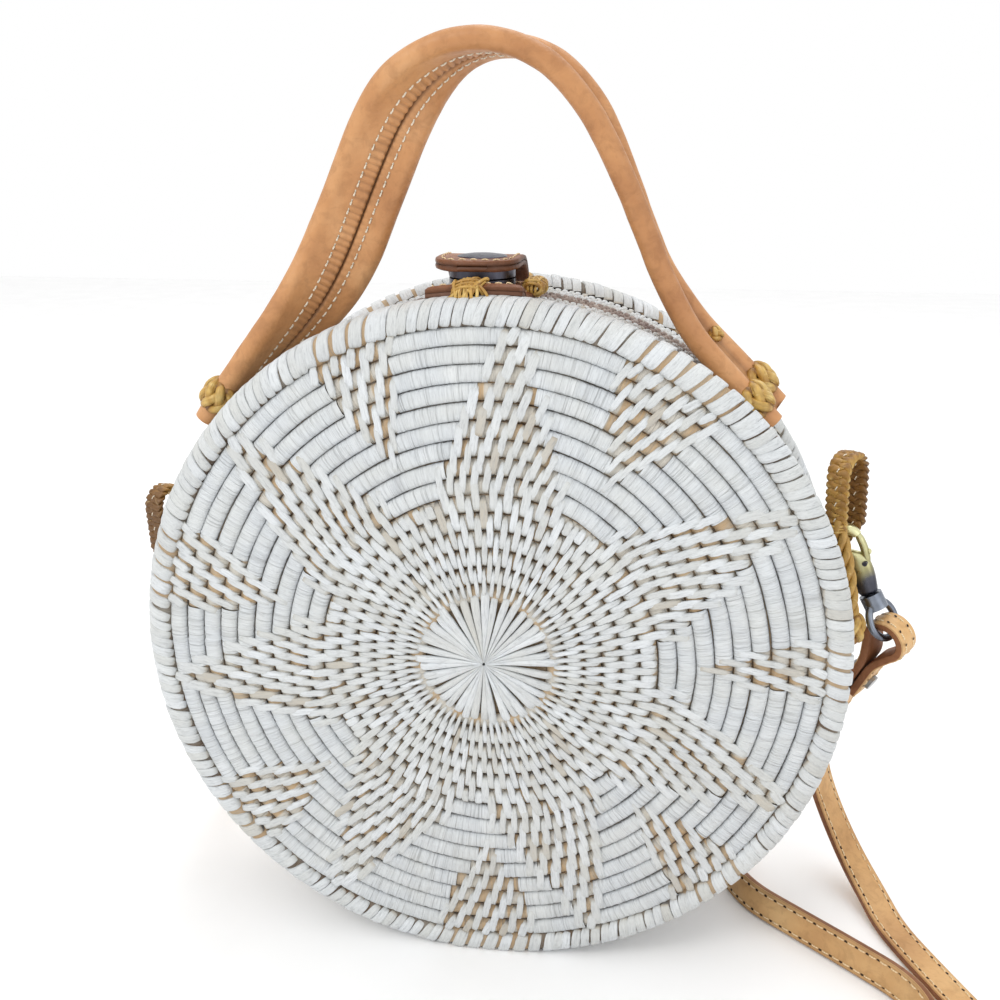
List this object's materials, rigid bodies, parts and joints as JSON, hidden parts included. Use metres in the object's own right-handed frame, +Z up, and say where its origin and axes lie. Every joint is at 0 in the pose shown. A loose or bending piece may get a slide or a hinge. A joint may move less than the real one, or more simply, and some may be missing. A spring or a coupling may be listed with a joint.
{
  "type": "circle bag",
  "caption": "Round woven shoulder bag of two coiled half shells hinged at the bottom, with a rolled leather handle, a leather snap flap and a clip-on strap.",
  "frame": {"origin": "on the floor, under the middle of the bag", "axes": "+X to the right, +Y from the front face to the back, +Z up"},
  "size_m": [0.2621, 0.2162, 0.2641],
  "materials": {
    "weave": "matte woven reed, washed off-white",
    "ata": "satin ochre vine",
    "tan_leather": "smooth caramel",
    "brown_leather": "smooth reddish brown",
    "gunmetal": "satin gunmetal",
    "magnet": "plated",
    "lining": "plain cotton",
    "cord_filling": "cotton rope",
    "brass": "antique brass",
    "steel": "satin"
  },
  "bodies": {
    "bag_body": {"front_panel": "weave", "front_wall": "weave", "hinge_lashing_left": "ata", "hinge_lashing_right": "ata", "closure_tie_front": "ata", "closure_tie_side": "ata", "handle_ties_left": "ata", "handle_ties_right": "ata", "strap_loop_left": "ata", "strap_loop_right": "ata", "loop_tie_left": "ata", "loop_tie_right": "ata", "handle_end_left": "tan_leather", "handle_end_right": "tan_leather", "strap_end_left": "tan_leather", "strap_end_right": "tan_leather", "shoulder_strap": "tan_leather", "closure_base": "brown_leather", "snap_socket": "gunmetal", "snap_magnet": "magnet", "front_lining": "lining", "clip_hook_left": "brass", "clip_hook_right": "brass", "clip_pin_left": "steel", "clip_pin_right": "steel", "strap_rivet_left": "steel", "strap_rivet_right": "steel"},
    "lid": {"rear_panel": "weave", "rear_wall": "weave", "rear_lining": "lining", "flap_root": "brown_leather", "flap_root_ties": "ata"},
    "flap": {"closure_flap": "brown_leather", "snap_stud": "gunmetal", "snap_cap": "gunmetal"},
    "handle": {"handle_grip": "tan_leather", "handle_core_front": "cord_filling", "handle_core_rear": "cord_filling"},
    "gate_left": {"clip_gate_left": "brass"},
    "gate_right": {"clip_gate_right": "brass"},
    "swivel_left": {"clip_swivel_left": "gunmetal"},
    "swivel_right": {"clip_swivel_right": "gunmetal"}
  },
  "joints": [
    {"name": "lid_hinge", "type": "hinge", "parent": "bag_body", "child": "lid", "pos_m": [0, 0.00725, 0.0056], "axis": [-1, 0, 0], "range_deg": [0, 50]},
    {"name": "flap_hinge", "type": "hinge", "parent": "lid", "child": "flap", "pos_m": [-0.004, 0.011, 0.1984], "axis": [-1, 0, 0], "range_deg": [0, 100]},
    {"name": "handle_swing", "type": "hinge", "parent": "bag_body", "child": "handle", "pos_m": [0, -0.0075, 0.199], "axis": [1, 0, 0], "range_deg": [-35, 35]},
    {"name": "gate_left_spring", "type": "hinge", "parent": "bag_body", "child": "gate_left", "pos_m": [-0.1073, 0.0021, 0.10314], "axis": [0.342, 0.9397, 0], "range_deg": [0, 7], "stiffness_Nm_per_rad": 0.02, "springref_deg": -11.46},
    {"name": "gate_right_spring", "type": "hinge", "parent": "bag_body", "child": "gate_right", "pos_m": [0.10598, -0.00162, 0.1221], "axis": [-0.342, -0.9397, 0], "range_deg": [0, 7], "stiffness_Nm_per_rad": 0.02, "springref_deg": -11.46},
    {"name": "swivel_left_turn", "type": "hinge", "parent": "bag_body", "child": "swivel_left", "pos_m": [-0.10438, 0.00104, 0.09514], "axis": [0, 0, 1], "range_deg": [-10, 10]},
    {"name": "swivel_right_turn", "type": "hinge", "parent": "bag_body", "child": "swivel_right", "pos_m": [0.10722, -0.00207, 0.11362], "axis": [-0.4697, 0.171, 0.8661], "range_deg": [-10, 10]}
  ]
}
